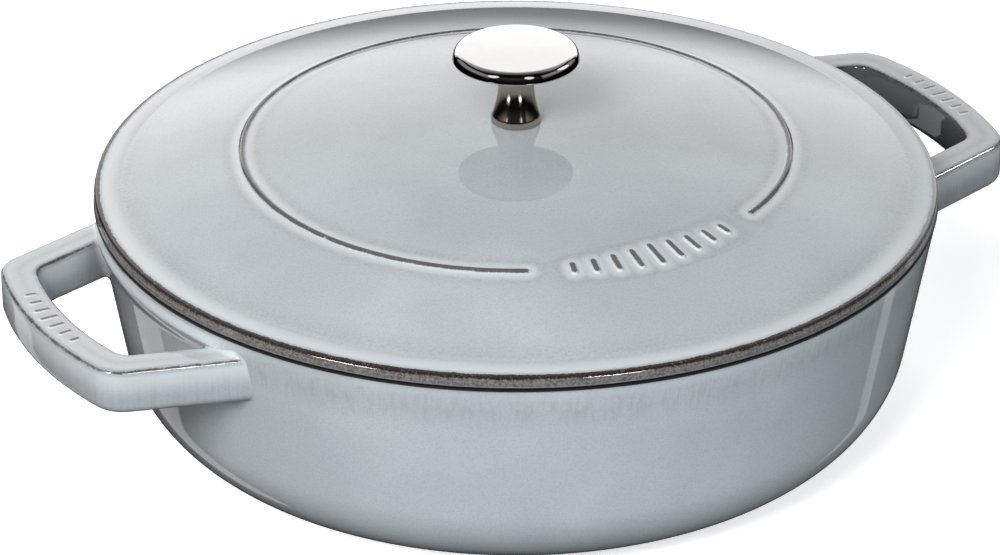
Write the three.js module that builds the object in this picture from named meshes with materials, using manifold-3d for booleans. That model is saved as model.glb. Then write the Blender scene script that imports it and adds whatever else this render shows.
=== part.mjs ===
// A lidded cast-iron pan with two loop handles.
// Millimetres, +Z up. The pan stands on z = 0, centred on the Z axis, with its handles along X.
import * as THREE from 'three';
import { mergeVertices } from 'three/addons/utils/BufferGeometryUtils.js';
import Module from 'manifold-3d';

const wasm = await Module();
wasm.setup();

const { degToRad } = THREE.MathUtils;

// Pan casting
const PAN_HEIGHT = 82.5;
const RIM_RADIUS = 147.6;
const RIM_WIDTH = 5.6;
const RIM_ROUND = 1;
const WALL_DRAFT = degToRad(9.6);
const PAN_WALL = 3.8;
const CORNER_RADIUS = 35;

// Loop handles, cast in one piece with the pan
const HANDLE_REACH = 184.7;
const HANDLE_DROP = 6.3;
const HANDLE_THICKNESS = 16.5;
const HANDLE_BAR = 12.2;
const HANDLE_EDGE = 1.6;
const GRIP_SPAN = 84.8;
const GRIP_BOW_RADIUS = 144.6;
const ARM_SPLAY = degToRad(17);
const HANDLE_OUTER_CORNER = 13;
const HANDLE_INNER_CORNER = 7;

// Lid casting
const LID_INSET = 0.2;
const LID_EDGE_HEIGHT = 4.2;
const LID_EDGE_TAPER = 0.4;
const BRIM_WIDTH = 9;
const BRIM_RISE = 1;
const DOME_RISE = 19.6;
const LID_WALL = 3.6;
const LID_BOSS_RADIUS = 13;
const LID_BOSS_DROP = 1.5;
const SPIGOT_WIDTH = 4;
const SPIGOT_DEPTH = 4.5;
const SPIGOT_CLEARANCE = 1.2;

// Raised ring on the lid, open at the front
const RING_RADIUS = 95.5;
const RING_WIDTH = 2.8;
const RING_HEIGHT = 0.9;
const RING_GAP = degToRad(54);

// Knob
const KNOB_HEIGHT = 27.6;
const KNOB_RADIUS = 22.1;
const KNOB_TOP_RADIUS = 20.6;
const KNOB_CAP_HEIGHT = 5.4;
const KNOB_RIM_HEIGHT = 1.8;
const KNOB_CROWN = 0.9;
const KNOB_NECK_RADIUS = 6.3;
const KNOB_NECK_HEIGHT = 15;
const KNOB_FOOT_RADIUS = 8.8;
const KNOB_FOOT_HEIGHT = 1.7;

// Knob screw and its washer
const SCREW_RADIUS = 3;
const SCREW_ENGAGEMENT = 12;
const SCREW_HEAD_RADIUS = 5.5;
const SCREW_HEAD_HEIGHT = 3.6;
const SCREW_HEAD_ROUND = 1.2;
const SCREW_TIP_CHAMFER = 0.75;
const SCREW_SLOT_WIDTH = 1.4;
const SCREW_SLOT_DEPTH = 1.6;
const WASHER_RADIUS = 8.5;
const WASHER_THICKNESS = 1.2;

// Clearances
const SEAT_GAP = 0.3;
const SCREW_CLEARANCE = 0.4;
const TIP_CLEARANCE = 2;

// Fineness of the round faces
const BODY_SEGMENTS = 64;
const KNOB_SEGMENTS = 32;
const SCREW_SEGMENTS = 24;
const ARC_STEPS = 4;

// Places that follow from the sizes above
const MOUTH_RADIUS = RIM_RADIUS - RIM_WIDTH;
const CORNER_TANGENT_Z = CORNER_RADIUS * (1 - Math.sin(WALL_DRAFT));
const BASE_RADIUS = RIM_RADIUS - (PAN_HEIGHT - CORNER_TANGENT_Z) * Math.tan(WALL_DRAFT)
  - CORNER_RADIUS * Math.cos(WALL_DRAFT);
const HANDLE_TOP_Z = PAN_HEIGHT - HANDLE_DROP;
const LID_SEAT_Z = PAN_HEIGHT + SEAT_GAP;
const LID_RADIUS = RIM_RADIUS - LID_INSET;
const LID_EDGE_Z = LID_SEAT_Z + LID_EDGE_HEIGHT;
const CREASE_RADIUS = LID_RADIUS - LID_EDGE_TAPER - BRIM_WIDTH;
const CREASE_Z = LID_EDGE_Z + BRIM_RISE;
const LID_TOP_Z = CREASE_Z + DOME_RISE;
const SPIGOT_RADIUS = MOUTH_RADIUS - SPIGOT_CLEARANCE;
const SCREW_HOLE_RADIUS = SCREW_RADIUS + SCREW_CLEARANCE;
const KNOB_SEAT_Z = domeZ(KNOB_FOOT_RADIUS);
const KNOB_Z = KNOB_SEAT_Z + SEAT_GAP;
const BOSS_Z = LID_TOP_Z - LID_WALL - LID_BOSS_DROP;
const WASHER_Z = BOSS_Z - SEAT_GAP - WASHER_THICKNESS;
const SCREW_HEAD_TOP_Z = WASHER_Z - SEAT_GAP;

// Turns a geometry into a solid, with its vertices shared and its collapsed faces left out.
function solidOf(geometry) {
  geometry.deleteAttribute('normal');
  geometry.deleteAttribute('uv');
  const merged = mergeVertices(geometry);
  const index = merged.index.array;
  const triangles = [];
  for (let i = 0; i < index.length; i += 3) {
    const [a, b, c] = index.slice(i, i + 3);
    if (a !== b && b !== c && c !== a) triangles.push(a, b, c);
  }
  const mesh = new wasm.Mesh({
    numProp: 3,
    vertProperties: merged.attributes.position.array,
    triVerts: Uint32Array.from(triangles),
  });
  return new wasm.Manifold(mesh);
}

// Turns a solid back into a geometry that can be drawn.
function geometryOf(solid) {
  const { vertProperties, triVerts, numProp } = solid.getMesh();
  const geometry = new THREE.BufferGeometry();
  const positions = new Float32Array((vertProperties.length / numProp) * 3);
  for (let i = 0; i < positions.length / 3; i += 1) {
    positions.set(vertProperties.subarray(i * numProp, i * numProp + 3), i * 3);
  }
  geometry.setAttribute('position', new THREE.BufferAttribute(positions, 3));
  geometry.setIndex(new THREE.BufferAttribute(Uint32Array.from(triVerts), 1));
  geometry.computeVertexNormals();
  return geometry;
}

// Spins a profile of (radius, z) points about the Z axis. The profile runs with the material on its left.
function turned(points, segments) {
  const geometry = new THREE.LatheGeometry(points, segments);
  geometry.rotateX(Math.PI / 2);
  return solidOf(geometry);
}

// Points along an arc, from one angle to another, both ends included.
function arcPoints(centre, radius, from, to, steps = ARC_STEPS) {
  const points = [];
  for (let i = 0; i <= steps; i += 1) {
    const angle = from + ((to - from) * i) / steps;
    points.push(new THREE.Vector2(centre.x + radius * Math.cos(angle), centre.y + radius * Math.sin(angle)));
  }
  return points;
}

const at = (radius, z) => new THREE.Vector2(radius, z);

function namedMesh(name, solid, material) {
  const mesh = new THREE.Mesh(geometryOf(solid), material);
  mesh.name = name;
  return mesh;
}

// Finishes
const enamel = new THREE.MeshStandardMaterial({ color: 0xb4babf, roughness: 0.18, metalness: 0 });
const polishedMetal = new THREE.MeshStandardMaterial({ color: 0xd8d4cc, roughness: 0.08, metalness: 1 });
const brightSteel = new THREE.MeshStandardMaterial({ color: 0xbfc1c3, roughness: 0.3, metalness: 1 });

// The filled outer shape of the pan: flat base, round lower corner, drafted wall and a rounded rim.
function panOutside() {
  const corner = at(BASE_RADIUS, CORNER_RADIUS);
  const rim = at(RIM_RADIUS - RIM_ROUND, PAN_HEIGHT - RIM_ROUND);
  return turned([
    at(0, 0),
    ...arcPoints(corner, CORNER_RADIUS, -Math.PI / 2, -WALL_DRAFT, 2 * ARC_STEPS),
    ...arcPoints(rim, RIM_ROUND, -WALL_DRAFT, Math.PI / 2, 3),
    at(0, PAN_HEIGHT),
  ], BODY_SEGMENTS);
}

// The space inside the pan, carried on past the rim. Its corner shares the outer corner's centre.
function panInside() {
  const corner = at(BASE_RADIUS, CORNER_RADIUS);
  const radius = CORNER_RADIUS - PAN_WALL;
  const mouth = at(MOUTH_RADIUS, PAN_HEIGHT - RIM_ROUND);
  const toMouth = mouth.clone().sub(corner);
  const tangent = toMouth.angle() - Math.acos(radius / toMouth.length());
  const lip = at(MOUTH_RADIUS + RIM_ROUND, PAN_HEIGHT - RIM_ROUND);
  return turned([
    at(0, PAN_WALL),
    ...arcPoints(corner, radius, -Math.PI / 2, tangent, 2 * ARC_STEPS),
    ...arcPoints(lip, RIM_ROUND, Math.PI, Math.PI / 2, 3),
    at(lip.x, PAN_HEIGHT + RIM_ROUND),
    at(0, PAN_HEIGHT + RIM_ROUND),
  ], BODY_SEGMENTS);
}

// One side line of the handle's plan, offset inwards from its outer face: where the arm starts inside
// the pan, the rounded corner, and the bowed grip. Gives the half on +Y, from the arm to the middle.
function handleSide(inset, cornerRadius) {
  const along = at(Math.cos(ARM_SPLAY), -Math.sin(ARM_SPLAY));
  const inwards = at(-Math.sin(ARM_SPLAY), -Math.cos(ARM_SPLAY));
  const bowRadius = GRIP_BOW_RADIUS - inset;
  const bowCentre = at(HANDLE_REACH - GRIP_BOW_RADIUS, 0);
  const virtualCorner = at(HANDLE_REACH, GRIP_SPAN / 2).addScaledVector(inwards, inset);
  const start = virtualCorner.clone().addScaledVector(along, (BASE_RADIUS - virtualCorner.x) / along.x);
  const onArm = start.clone().addScaledVector(inwards, cornerRadius).sub(bowCentre);
  const half = onArm.dot(along);
  const reach = bowRadius - cornerRadius;
  const length = -half + Math.sqrt(half * half - onArm.lengthSq() + reach * reach);
  const corner = start.clone().addScaledVector(inwards, cornerRadius).addScaledVector(along, length);
  const bowAngle = corner.clone().sub(bowCentre).angle();
  const armAngle = Math.PI / 2 - ARM_SPLAY;
  return [
    start,
    ...arcPoints(corner, cornerRadius, armAngle, bowAngle),
    ...arcPoints(bowCentre, bowRadius, bowAngle, 0).slice(1),
  ];
}

// A full loop handle on +X: the plan outline, raised to the handle's thickness with rounded edges.
function loopHandle() {
  const mirrored = (side) => side.slice(0, -1).map((p) => at(p.x, -p.y)).reverse();
  const outer = handleSide(0, HANDLE_OUTER_CORNER);
  const inner = handleSide(HANDLE_BAR, HANDLE_INNER_CORNER);
  const outline = [...outer, ...mirrored(outer), ...[...inner, ...mirrored(inner)].reverse()];
  const geometry = new THREE.ExtrudeGeometry(new THREE.Shape(outline), {
    depth: HANDLE_THICKNESS - 2 * HANDLE_EDGE,
    bevelThickness: HANDLE_EDGE,
    bevelSize: HANDLE_EDGE,
    bevelOffset: -HANDLE_EDGE,
    bevelSegments: 2,
  });
  geometry.translate(0, 0, HANDLE_TOP_Z - HANDLE_THICKNESS + HANDLE_EDGE);
  return geometry;
}

// The pan casting: the outer shape and both handles, then hollowed, which trims the arms inside.
function panCasting() {
  const right = loopHandle();
  const left = loopHandle().rotateZ(Math.PI);
  return panOutside().add(solidOf(right)).add(solidOf(left)).subtract(panInside());
}

// Height of the lid's outer face over its dome, an arc from the brim's crease to the top.
function domeZ(radius) {
  const sphere = (CREASE_RADIUS * CREASE_RADIUS + DOME_RISE * DOME_RISE) / (2 * DOME_RISE);
  return LID_TOP_Z - sphere + Math.sqrt(sphere * sphere - radius * radius);
}

// Points along the dome, shifted down by a wall, from one radius to another.
function domePoints(from, to, drop) {
  const steps = 2 * ARC_STEPS;
  return Array.from({ length: steps + 1 }, (_, i) => {
    const radius = from + ((to - from) * i) / steps;
    return at(radius, domeZ(radius) - drop);
  });
}

// The lid without its ring: dome, flat brim, edge, seat, the locating spigot and a boss for the screw.
function lidBody() {
  const spigotInside = SPIGOT_RADIUS - SPIGOT_WIDTH;
  return turned([
    at(SCREW_HOLE_RADIUS, BOSS_Z),
    at(LID_BOSS_RADIUS, BOSS_Z),
    ...domePoints(LID_BOSS_RADIUS + LID_BOSS_DROP, spigotInside, LID_WALL),
    at(spigotInside, LID_SEAT_Z - SPIGOT_DEPTH),
    at(SPIGOT_RADIUS, LID_SEAT_Z - SPIGOT_DEPTH),
    at(SPIGOT_RADIUS, LID_SEAT_Z),
    at(LID_RADIUS, LID_SEAT_Z),
    at(LID_RADIUS - LID_EDGE_TAPER, LID_EDGE_Z),
    ...domePoints(CREASE_RADIUS, KNOB_FOOT_RADIUS, 0),
    at(SCREW_HOLE_RADIUS, KNOB_SEAT_Z),
    at(SCREW_HOLE_RADIUS, BOSS_Z),
  ], BODY_SEGMENTS);
}

// The raised ring: a low bead that follows the dome, with a wedge taken out at the front, on -Y.
function lidRing() {
  const half = RING_WIDTH / 2;
  const low = (radius) => at(radius, domeZ(radius) - RING_HEIGHT);
  const bead = turned([
    low(RING_RADIUS - half),
    low(RING_RADIUS + half),
    at(RING_RADIUS + half, domeZ(RING_RADIUS + half)),
    at(RING_RADIUS + half / 2, domeZ(RING_RADIUS) + RING_HEIGHT),
    at(RING_RADIUS - half / 2, domeZ(RING_RADIUS) + RING_HEIGHT),
    at(RING_RADIUS - half, domeZ(RING_RADIUS - half)),
    low(RING_RADIUS - half),
  ], BODY_SEGMENTS);
  const reach = 2 * RING_RADIUS;
  const side = reach * Math.tan(RING_GAP / 2);
  const wedge = new THREE.Shape([at(0, 0), at(-side, -reach), at(side, -reach)]);
  const cut = new THREE.ExtrudeGeometry(wedge, { depth: LID_TOP_Z, bevelEnabled: false });
  return bead.subtract(solidOf(cut));
}

// The knob: foot, waisted stem and a wide cap with a rolled rim, tapped from below for the screw.
function knobTurning() {
  const capZ = KNOB_HEIGHT - KNOB_CAP_HEIGHT;
  const rimZ = capZ + KNOB_RIM_HEIGHT;
  const flareZ = (KNOB_FOOT_HEIGHT + KNOB_NECK_HEIGHT) / 2;
  const tapDepth = SCREW_ENGAGEMENT + TIP_CLEARANCE;
  const path = new THREE.Path();
  path.moveTo(0, tapDepth);
  path.lineTo(SCREW_HOLE_RADIUS, tapDepth);
  path.lineTo(SCREW_HOLE_RADIUS, 0);
  path.lineTo(KNOB_FOOT_RADIUS, 0);
  path.lineTo(KNOB_FOOT_RADIUS, KNOB_FOOT_HEIGHT);
  path.quadraticCurveTo(KNOB_NECK_RADIUS, flareZ, KNOB_NECK_RADIUS, KNOB_NECK_HEIGHT);
  path.quadraticCurveTo(KNOB_NECK_RADIUS, capZ, KNOB_FOOT_RADIUS, capZ);
  path.lineTo(KNOB_TOP_RADIUS, capZ);
  path.quadraticCurveTo(KNOB_RADIUS, capZ, KNOB_RADIUS, rimZ);
  path.quadraticCurveTo(KNOB_RADIUS, KNOB_HEIGHT - KNOB_CROWN, KNOB_TOP_RADIUS, KNOB_HEIGHT - KNOB_CROWN);
  path.quadraticCurveTo(KNOB_TOP_RADIUS / 2, KNOB_HEIGHT, 0, KNOB_HEIGHT);
  return turned(path.getPoints(ARC_STEPS), KNOB_SEGMENTS).translate([0, 0, KNOB_Z]);
}

// The screw: a slotted pan head below the washer, and a shank up through the lid into the knob.
function knobScrew() {
  const headZ = SCREW_HEAD_TOP_Z - SCREW_HEAD_HEIGHT;
  const edge = at(SCREW_HEAD_RADIUS - SCREW_HEAD_ROUND, headZ + SCREW_HEAD_ROUND);
  const tipZ = KNOB_Z + SCREW_ENGAGEMENT;
  const screw = turned([
    at(0, headZ),
    ...arcPoints(edge, SCREW_HEAD_ROUND, -Math.PI / 2, 0),
    at(SCREW_HEAD_RADIUS, SCREW_HEAD_TOP_Z),
    at(SCREW_RADIUS, SCREW_HEAD_TOP_Z),
    at(SCREW_RADIUS, tipZ - SCREW_TIP_CHAMFER),
    at(SCREW_RADIUS - SCREW_TIP_CHAMFER, tipZ),
    at(0, tipZ),
  ], SCREW_SEGMENTS);
  const slot = new THREE.BoxGeometry(3 * SCREW_HEAD_RADIUS, SCREW_SLOT_WIDTH, 2 * SCREW_SLOT_DEPTH);
  slot.translate(0, 0, headZ);
  return screw.subtract(solidOf(slot));
}

// The washer between the screw's head and the lid's boss.
function screwWasher() {
  return turned([
    at(SCREW_HOLE_RADIUS, WASHER_Z),
    at(WASHER_RADIUS, WASHER_Z),
    at(WASHER_RADIUS, WASHER_Z + WASHER_THICKNESS),
    at(SCREW_HOLE_RADIUS, WASHER_Z + WASHER_THICKNESS),
    at(SCREW_HOLE_RADIUS, WASHER_Z),
  ], SCREW_SEGMENTS);
}

const lid = new THREE.Group();
lid.add(
  namedMesh('lid', lidBody().add(lidRing()), enamel),
  namedMesh('knob', knobTurning(), polishedMetal),
  namedMesh('knob_screw', knobScrew(), brightSteel),
  namedMesh('screw_washer', screwWasher(), brightSteel),
);

const group = new THREE.Group();
group.add(namedMesh('pan', panCasting(), enamel), lid);

export default group;
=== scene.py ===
"""Dresses a lidded cast-iron pan: two enamelled castings, a polished knob, its screw, and a small studio.

Shapes are worked out in millimetres and made in metres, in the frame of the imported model: the pan stands on
z = 0 with its handles along X, and the gap in the lid's raised ring is on -Y.
"""

from __future__ import annotations

import logging
import math
from dataclasses import dataclass, field, replace
from enum import Enum
from typing import Callable, Iterable, Sequence, Union

import bmesh
import bpy
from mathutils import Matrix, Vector
from mathutils.kdtree import KDTree


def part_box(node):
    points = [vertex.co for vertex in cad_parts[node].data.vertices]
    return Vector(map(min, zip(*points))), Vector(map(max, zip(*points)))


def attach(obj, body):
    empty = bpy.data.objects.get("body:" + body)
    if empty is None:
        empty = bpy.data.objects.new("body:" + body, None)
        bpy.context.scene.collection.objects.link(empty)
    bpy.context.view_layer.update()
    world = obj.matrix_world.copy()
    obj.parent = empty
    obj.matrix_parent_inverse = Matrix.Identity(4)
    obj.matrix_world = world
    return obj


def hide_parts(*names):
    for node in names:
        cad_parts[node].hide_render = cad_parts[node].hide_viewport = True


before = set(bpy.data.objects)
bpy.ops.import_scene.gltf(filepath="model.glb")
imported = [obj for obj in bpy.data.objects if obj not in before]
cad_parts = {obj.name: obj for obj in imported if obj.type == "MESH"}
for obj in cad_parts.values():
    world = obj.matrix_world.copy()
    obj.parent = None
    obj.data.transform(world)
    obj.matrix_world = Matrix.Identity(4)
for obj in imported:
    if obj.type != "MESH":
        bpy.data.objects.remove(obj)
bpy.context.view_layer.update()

log = logging.getLogger("pan")

MM = 0.001
FAR_FROM_EDGE = 30.0
SMOOTH_ANGLE = math.radians(38)
FINE_DETAIL = 3.0
REST_GAP = 0.3
WELD_GAP = 0.004

Colour = tuple[float, float, float]
Stretch = tuple[float, float, float]
Span = tuple[float, float]


class Body(Enum):
    """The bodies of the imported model."""

    PAN = "pan"
    LID = "lid"


class Slot(Enum):
    """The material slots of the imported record."""

    ENAMEL = "grey_enamel"
    POLISHED = "polished_metal"
    STEEL = "steel_fixing"


class Coat(Enum):
    """How the enamel lies on a stretch of a casting."""

    GLAZE = "glaze"
    THIN = "thin"
    BLACK = "black"


# Shader maths


class Value:
    """A number that changes over a surface, held as the socket that carries it."""

    def __init__(self, bench: "ShaderBench", socket: bpy.types.NodeSocket) -> None:
        """Keeps the socket and the bench that can add nodes after it."""
        self.bench = bench
        self.socket = socket

    def _math(self, operation: str, first: "Operand", second: "Operand") -> "Value":
        """Adds one Math node.

        Args:
            operation: The Math node's operation.
            first: The upper operand.
            second: The lower operand.

        Returns:
            The node's result.
        """
        return self.bench.add("ShaderNodeMath", {"operation": operation}, {0: first, 1: second})

    def __add__(self, other: "Operand") -> "Value":
        """Gives self + other."""
        return self._math("ADD", self, other)

    def __radd__(self, other: "Operand") -> "Value":
        """Gives other + self."""
        return self._math("ADD", other, self)

    def __sub__(self, other: "Operand") -> "Value":
        """Gives self - other."""
        return self._math("SUBTRACT", self, other)

    def __rsub__(self, other: "Operand") -> "Value":
        """Gives other - self."""
        return self._math("SUBTRACT", other, self)

    def __mul__(self, other: "Operand") -> "Value":
        """Gives self * other."""
        return self._math("MULTIPLY", self, other)

    def __rmul__(self, other: "Operand") -> "Value":
        """Gives other * self."""
        return self._math("MULTIPLY", other, self)


Operand = Union[Value, float, int]


class ShaderBench:
    """A material with an empty node tree, and the few ways in which this script fills it."""

    def __init__(self, name: str) -> None:
        """Makes the material with its Principled shader and its output."""
        self.material = bpy.data.materials.new(name)
        self.material.use_nodes = True
        self.tree = self.material.node_tree
        self.shader = self.tree.nodes["Principled BSDF"]
        self.place = self.add("ShaderNodeTexCoord", output="Object")

    def add(
        self,
        kind: str,
        settings: dict[str, object] | None = None,
        inputs: dict[str | int, object] | None = None,
        output: str | int = 0,
    ) -> Value:
        """Adds any node.

        Args:
            kind: The node's type.
            settings: Properties of the node, set before its sockets.
            inputs: A value or a link for each named or numbered input.
            output: The output to give back.

        Returns:
            The chosen output.
        """
        node = self.tree.nodes.new(kind)
        for key, setting in (settings or {}).items():
            setattr(node, key, setting)
        for key, value in (inputs or {}).items():
            self.feed(node.inputs[key], value)
        return Value(self, node.outputs[output])

    def feed(self, socket: bpy.types.NodeSocket, value: object) -> None:
        """Links a Value to a socket, or sets a plain number, vector or colour on it."""
        if isinstance(value, Value):
            self.tree.links.new(value.socket, socket)
        elif isinstance(value, tuple) and socket.type == "RGBA":
            socket.default_value = (*value, 1.0)
        else:
            socket.default_value = value

    def set(self, **sockets: object) -> None:
        """Feeds the Principled shader's sockets, named in lower case with underscores."""
        for key, value in sockets.items():
            self.feed(self.shader.inputs[key.replace("_", " ").title().replace("Ior", "IOR")], value)

    def attribute(self, name: str) -> Value:
        """Reads a number that the mesh carries at its points."""
        return self.add("ShaderNodeAttribute", {"attribute_name": name}, output="Fac")

    def noise(self, size_mm: float, detail: float = 2.0, stretch: Stretch = (1.0, 1.0, 1.0)) -> Value:
        """Adds a noise pattern.

        Args:
            size_mm: About how large one blot is.
            detail: How many finer layers it has.
            stretch: How much larger it is along X, Y and Z.

        Returns:
            The pattern, about 0.5 on average.
        """
        scale = tuple(1.0 / part for part in stretch)
        place = self.add("ShaderNodeMapping", inputs={"Vector": self.place, "Scale": scale})
        sockets = {"Vector": place, "Scale": 1.0 / (size_mm * MM), "Detail": detail}
        return self.add("ShaderNodeTexNoise", inputs=sockets, output="Fac")

    def rise(self, value: Value, low: float, high: float) -> Value:
        """Goes smoothly from 0, where a value is at low or under, to 1, where it is at high or over."""
        sockets = {"Value": value, "From Min": low, "From Max": high}
        return self.add("ShaderNodeMapRange", {"interpolation_type": "SMOOTHSTEP"}, sockets)

    def mix(self, factor: Operand, first: object, second: object) -> Value:
        """Mixes two colours, all of the second where the factor is 1."""
        sockets = {"Factor": factor, 6: first, 7: second}
        return self.add("ShaderNodeMix", {"data_type": "RGBA"}, sockets, output=2)

    def bump(self, height: Value, depth_mm: float, strength: float) -> Value:
        """Turns a height pattern into a normal."""
        sockets = {"Height": height, "Distance": depth_mm * MM, "Strength": strength}
        return self.add("ShaderNodeBump", inputs=sockets)


# Finishes


@dataclass(frozen=True)
class GreyEnamel:
    """Glossy grey enamel, pale where it pools beside sharp edges and dark on them, with matt black inside and
    painted shade on the handles.
    """

    name: str = "grey_enamel"
    pale: Colour = (0.385, 0.412, 0.430)
    deep: Colour = (0.347, 0.373, 0.392)
    pooled: Colour = (0.51, 0.535, 0.55)
    # Colour of the painted shade on the handles, strongest on their inner faces and on the right handle
    inside: Colour = (0.050, 0.053, 0.057)
    thin: Colour = (0.150, 0.143, 0.139)
    dark: Colour = (0.070, 0.064, 0.060)
    iron: Colour = (0.02, 0.013, 0.01)
    black: Colour = (0.012, 0.012, 0.013)
    index: float = 1.55
    gloss: float = 0.02
    speckle_dulled: float = 0.03
    thin_dulled: float = 0.05
    matt: float = 0.42
    cloud_mm: float = 45.0
    cloud_cut: Span = (0.32, 0.68)
    grain_mm: float = 0.8
    bare_cut: Span = (0.5, 0.85)
    speckle_mm: float = 0.55
    speckle_cut: Span = (0.35, 0.85)
    speckle_share: float = 0.26
    run_mm: float = 1.3
    run_stretch: Stretch = (1.0, 1.0, 22.0)
    run_cut: Span = (0.42, 0.72)
    worn_run: float = 0.3
    worn_cut: Span = (0.36, 0.64)
    wander_mm: float = 5.0
    wander_depth: float = 0.9
    line_mm: Span = (0.4, 1.0)
    pool_start_mm: Span = (0.7, 2.4)
    pool_end_mm: Span = (3.0, 10.0)
    pool_wander: float = 3.0
    pool_share: float = 0.8
    streak_start_mm: Span = (1.5, 5.0)
    streak_end_mm: Span = (8.0, 19.0)
    streak_least: float = 0.4
    streak_share: float = 0.26
    wave_mm: float = 9.0
    wave_height: float = 1.5
    ripple_mm: float = 1.6
    ripple_height: float = 0.2
    skin_depth_mm: float = 0.1
    skin_strength: float = 0.12

    def make(self) -> bpy.types.Material:
        """Builds the material, which reads how far a point is from an edge, which coat it has and how much
        painted shade it carries.
        """
        bench = ShaderBench(self.name)
        edge = bench.attribute("edge_mm")
        wear = bench.attribute("edge_wear")
        thin = bench.attribute("thin_coat")
        black = bench.attribute("black_coat")
        shade = bench.attribute("painted_shade")
        cloud = bench.noise(self.cloud_mm, FINE_DETAIL)
        grain = bench.noise(self.grain_mm, FINE_DETAIL)
        speckle = bench.noise(self.speckle_mm)
        run = bench.noise(self.run_mm, stretch=self.run_stretch)
        wander = edge + (grain - 0.5) * self.wander_depth
        wander = wander + (bench.noise(self.wander_mm) - 0.5) * self.wander_depth
        line = (1 - bench.rise(wander, *self.line_mm)) * wear
        pool_end = bench.rise(edge + (cloud - 0.5) * self.pool_wander, *self.pool_end_mm)
        pool = bench.rise(edge, *self.pool_start_mm) * (1 - pool_end) * wear
        below = bench.rise(edge, *self.streak_start_mm) * (1 - bench.rise(edge, *self.streak_end_mm))
        streak = (self.streak_least + bench.rise(run, *self.run_cut) * (1.0 - self.streak_least)) * below
        glaze = bench.mix(bench.rise(cloud, *self.cloud_cut), self.deep, self.pale)
        glaze = bench.mix(bench.rise(speckle, *self.speckle_cut) * self.speckle_share, glaze, self.thin)
        glaze = bench.mix(streak * self.streak_share, glaze, self.thin)
        # Painted shade: the handles darken towards the inside colour, and no pale pooling is laid over it
        glaze = bench.mix(shade, glaze, self.inside)
        glaze = bench.mix(pool * (1 - shade) * self.pool_share, glaze, self.pooled)
        mottle = grain * (1.0 - self.worn_run) + run * self.worn_run
        worn = bench.mix(bench.rise(mottle, *self.worn_cut), self.dark, self.thin)
        glaze = bench.mix(thin, glaze, worn)
        bare = bench.mix(bench.rise(grain, *self.bare_cut), self.iron, self.dark)
        glaze = bench.mix(line, glaze, bare)
        rough = self.gloss + speckle * self.speckle_dulled + thin * self.thin_dulled
        skin = bench.noise(self.wave_mm) * self.wave_height + bench.noise(self.ripple_mm) * self.ripple_height
        bench.set(
            base_color=bench.mix(black, glaze, self.black),
            roughness=rough * (1 - black) + black * self.matt,
            ior=self.index,
            normal=bench.bump(skin, self.skin_depth_mm, self.skin_strength),
        )
        return bench.material


@dataclass(frozen=True)
class PolishedNickel:
    """Warm white metal, polished nearly to a mirror on the cap, with a brown painted shade on the stem."""

    name: str = "polished_nickel"
    colour: Colour = (0.655, 0.643, 0.628)
    dull: Colour = (0.635, 0.62, 0.605)
    stem_shade_tint: Colour = (0.50, 0.445, 0.385)
    gloss: float = 0.03
    gloss_spread: float = 0.03
    stem_gloss: float = 0.08
    stem_top_m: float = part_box("knob")[1].z - 5.6 * MM
    stem_fade_m: float = 1.0 * MM
    smear_mm: float = 9.0
    smear_cut: Span = (0.35, 0.75)
    marks_mm: float = 0.5
    marks_stretch: Stretch = (1.0, 1.0, 0.15)
    marks_depth_mm: float = 0.01
    marks_strength: float = 0.02

    def make(self) -> bpy.types.Material:
        """Builds the material with faint polishing marks."""
        bench = ShaderBench(self.name)
        smear = bench.noise(self.smear_mm, FINE_DETAIL)
        marks = bench.noise(self.marks_mm, stretch=self.marks_stretch)
        height = bench.add("ShaderNodeSeparateXYZ", inputs={0: bench.place}, output="Z")
        # The stem is duller, and carries a brown painted shade standing in for the shaded lid that it mirrors
        stem = 1 - bench.rise(height, self.stem_top_m - self.stem_fade_m, self.stem_top_m)
        cap = bench.mix(bench.rise(smear, *self.smear_cut), self.colour, self.dull)
        bench.set(
            base_color=bench.mix(stem, cap, self.stem_shade_tint),
            metallic=1.0,
            roughness=self.gloss + smear * self.gloss_spread + stem * self.stem_gloss,
            normal=bench.bump(marks, self.marks_depth_mm, self.marks_strength),
        )
        return bench.material


@dataclass(frozen=True)
class PlainSteel:
    """Plain turned steel."""

    name: str = "plain_steel"
    colour: Colour = (0.48, 0.48, 0.47)
    dark: Colour = (0.30, 0.30, 0.30)
    rough: float = 0.28
    rough_spread: float = 0.15
    stain_mm: float = 3.0
    stain_cut: Span = (0.4, 0.8)
    marks_mm: float = 0.35
    marks_depth_mm: float = 0.02
    marks_strength: float = 0.1

    def make(self) -> bpy.types.Material:
        """Builds the material with turning marks and a little staining."""
        bench = ShaderBench(self.name)
        stain = bench.noise(self.stain_mm, FINE_DETAIL)
        marks = bench.noise(self.marks_mm)
        bench.set(
            base_color=bench.mix(bench.rise(stain, *self.stain_cut), self.colour, self.dark),
            metallic=1.0,
            roughness=self.rough + stain * self.rough_spread,
            normal=bench.bump(marks, self.marks_depth_mm, self.marks_strength),
        )
        return bench.material


@dataclass(frozen=True)
class PaleSheet:
    """The white sheet that the pan stands on."""

    name: str = "pale_sheet"
    colour: Colour = (0.97, 0.97, 0.97)
    uneven: float = 0.985
    cloud_mm: float = 120.0
    rough: float = 0.7
    near_glow: Colour = (0.5, 0.5, 0.5)
    far_glow: Colour = (1.0, 1.0, 1.0)
    glow_fade_m: Span = (0.35, 0.8)

    def make(self) -> bpy.types.Material:
        """Builds the material with a faint unevenness and a glow that grows away from the pan."""
        bench = ShaderBench(self.name)
        shade = tuple(part * self.uneven for part in self.colour)
        away = bench.add("ShaderNodeVectorMath", {"operation": "LENGTH"}, {0: bench.place}, output="Value")
        bench.set(
            base_color=bench.mix(bench.noise(self.cloud_mm), shade, self.colour),
            roughness=self.rough,
            emission_color=bench.mix(bench.rise(away, *self.glow_fade_m), self.near_glow, self.far_glow),
            emission_strength=1.0,
        )
        return bench.material


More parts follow.
